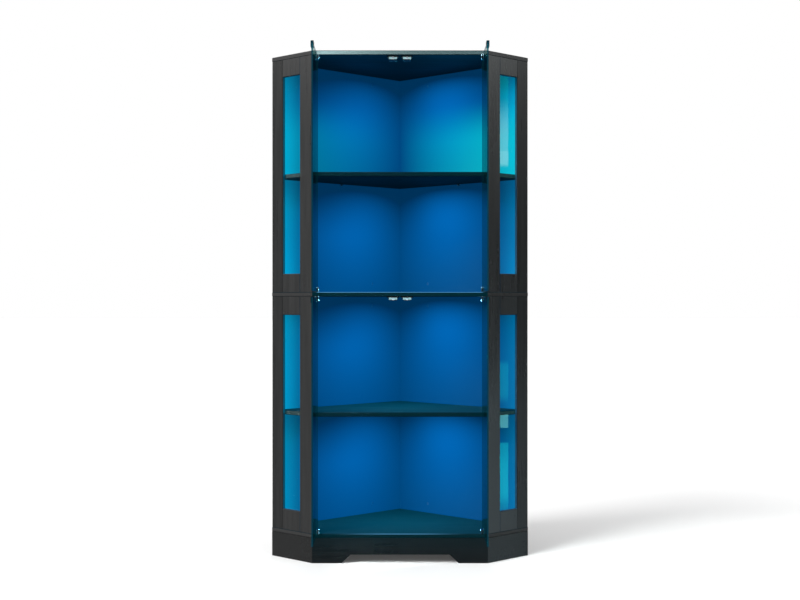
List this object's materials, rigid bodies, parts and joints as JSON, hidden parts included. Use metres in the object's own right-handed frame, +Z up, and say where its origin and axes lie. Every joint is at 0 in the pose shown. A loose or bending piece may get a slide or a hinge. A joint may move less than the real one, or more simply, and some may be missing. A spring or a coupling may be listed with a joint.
{
  "type": "corner curio cabinet",
  "caption": "Tall black corner display cabinet in two storeys, with frameless glass doors, framed glass sides, shelves and interior light strips.",
  "frame": {"origin": "on the floor under the middle of the whole object's box, with the doors standing open at a right angle as at rest", "axes": "+Z up, +X to the right seen from the front, +Y back into the room's corner"},
  "size_m": [0.9, 0.8744, 1.75],
  "materials": {
    "case_board": "black wood-grain laminate on board, edge banded",
    "frame_board": "black wood-grain laminate, satin",
    "shelf_board": "black wood-grain laminate, satin",
    "plinth_board": "black wood-grain laminate, satin",
    "back_board": "black laminate, smooth satin",
    "door_glass": "clear tempered glass, polished green-grey edges",
    "side_glass": "clear glass",
    "polished_fitting": "polished plated metal",
    "latch_plastic": "pale grey moulded plastic",
    "plunger_plastic": "grey moulded plastic with a magnet tip",
    "zinc_steel": "zinc-plated steel",
    "bush_plastic": "black moulded plastic",
    "clip_plastic": "black moulded plastic",
    "light_strip": "milky diffuser strip",
    "control_case": "black moulded plastic"
  },
  "bodies": {
    "root": {"bottom_board": "case_board", "cam_bolts": "zinc_steel", "cam_discs": "zinc_steel", "front_plinth": "plinth_board", "hinge_bushes": "bush_plastic", "left_rear_plinth": "plinth_board", "left_side_plinth": "plinth_board", "light_control": "control_case", "light_strips": "light_strip", "lower_left_back_panel": "back_board", "lower_left_bottom_rail": "frame_board", "lower_left_front_stile": "frame_board", "lower_left_rear_stile": "frame_board", "lower_left_side_glass": "side_glass", "lower_left_top_rail": "frame_board", "lower_right_back_panel": "back_board", "lower_right_bottom_rail": "frame_board", "lower_right_front_stile": "frame_board", "lower_right_rear_stile": "frame_board", "lower_right_side_glass": "side_glass", "lower_right_top_rail": "frame_board", "lower_shelf": "shelf_board", "middle_board": "case_board", "pane_clips": "clip_plastic", "right_rear_plinth": "plinth_board", "right_side_plinth": "plinth_board", "shelf_pins": "zinc_steel", "small_screws": "zinc_steel", "top_board": "case_board", "touch_latches": "latch_plastic", "upper_left_back_panel": "back_board", "upper_left_bottom_rail": "frame_board", "upper_left_front_stile": "frame_board", "upper_left_rear_stile": "frame_board", "upper_left_side_glass": "side_glass", "upper_left_top_rail": "frame_board", "upper_right_back_panel": "back_board", "upper_right_bottom_rail": "frame_board", "upper_right_front_stile": "frame_board", "upper_right_rear_stile": "frame_board", "upper_right_side_glass": "side_glass", "upper_right_top_rail": "frame_board", "upper_shelf": "shelf_board"},
    "lower_left_door": {"lower_left_door_glass": "door_glass", "lower_left_door_hinges": "polished_fitting", "lower_left_door_striker": "polished_fitting"},
    "lower_right_door": {"lower_right_door_glass": "door_glass", "lower_right_door_hinges": "polished_fitting", "lower_right_door_striker": "polished_fitting"},
    "upper_left_door": {"upper_left_door_glass": "door_glass", "upper_left_door_hinges": "polished_fitting", "upper_left_door_striker": "polished_fitting"},
    "upper_right_door": {"upper_right_door_glass": "door_glass", "upper_right_door_hinges": "polished_fitting", "upper_right_door_striker": "polished_fitting"},
    "lower_left_latch_plunger": {"lower_left_latch_plunger": "plunger_plastic"},
    "lower_right_latch_plunger": {"lower_right_latch_plunger": "plunger_plastic"},
    "upper_left_latch_plunger": {"upper_left_latch_plunger": "plunger_plastic"},
    "upper_right_latch_plunger": {"upper_right_latch_plunger": "plunger_plastic"}
  },
  "joints": [
    {"name": "lower_left_door_hinge", "type": "hinge", "parent": "root", "child": "lower_left_door", "pos_m": [-0.283, -0.15575, 0.1], "axis": [0, 0, -1], "range_deg": [-90, 45]},
    {"name": "lower_right_door_hinge", "type": "hinge", "parent": "root", "child": "lower_right_door", "pos_m": [0.283, -0.15575, 0.1], "axis": [0, 0, 1], "range_deg": [-90, 45]},
    {"name": "upper_left_door_hinge", "type": "hinge", "parent": "root", "child": "upper_left_door", "pos_m": [-0.283, -0.15575, 0.925], "axis": [0, 0, -1], "range_deg": [-90, 45]},
    {"name": "upper_right_door_hinge", "type": "hinge", "parent": "root", "child": "upper_right_door", "pos_m": [0.283, -0.15575, 0.925], "axis": [0, 0, 1], "range_deg": [-90, 45]},
    {"name": "lower_left_latch_push", "type": "slide", "parent": "root", "child": "lower_left_latch_plunger", "axis": [0, 1, 0], "range_m": [0, 0.005], "stiffness_N_per_m": 300, "springref_m": -0.002},
    {"name": "lower_right_latch_push", "type": "slide", "parent": "root", "child": "lower_right_latch_plunger", "axis": [0, 1, 0], "range_m": [0, 0.005], "stiffness_N_per_m": 300, "springref_m": -0.002},
    {"name": "upper_left_latch_push", "type": "slide", "parent": "root", "child": "upper_left_latch_plunger", "axis": [0, 1, 0], "range_m": [0, 0.005], "stiffness_N_per_m": 300, "springref_m": -0.002},
    {"name": "upper_right_latch_push", "type": "slide", "parent": "root", "child": "upper_right_latch_plunger", "axis": [0, 1, 0], "range_m": [0, 0.005], "stiffness_N_per_m": 300, "springref_m": -0.002}
  ]
}
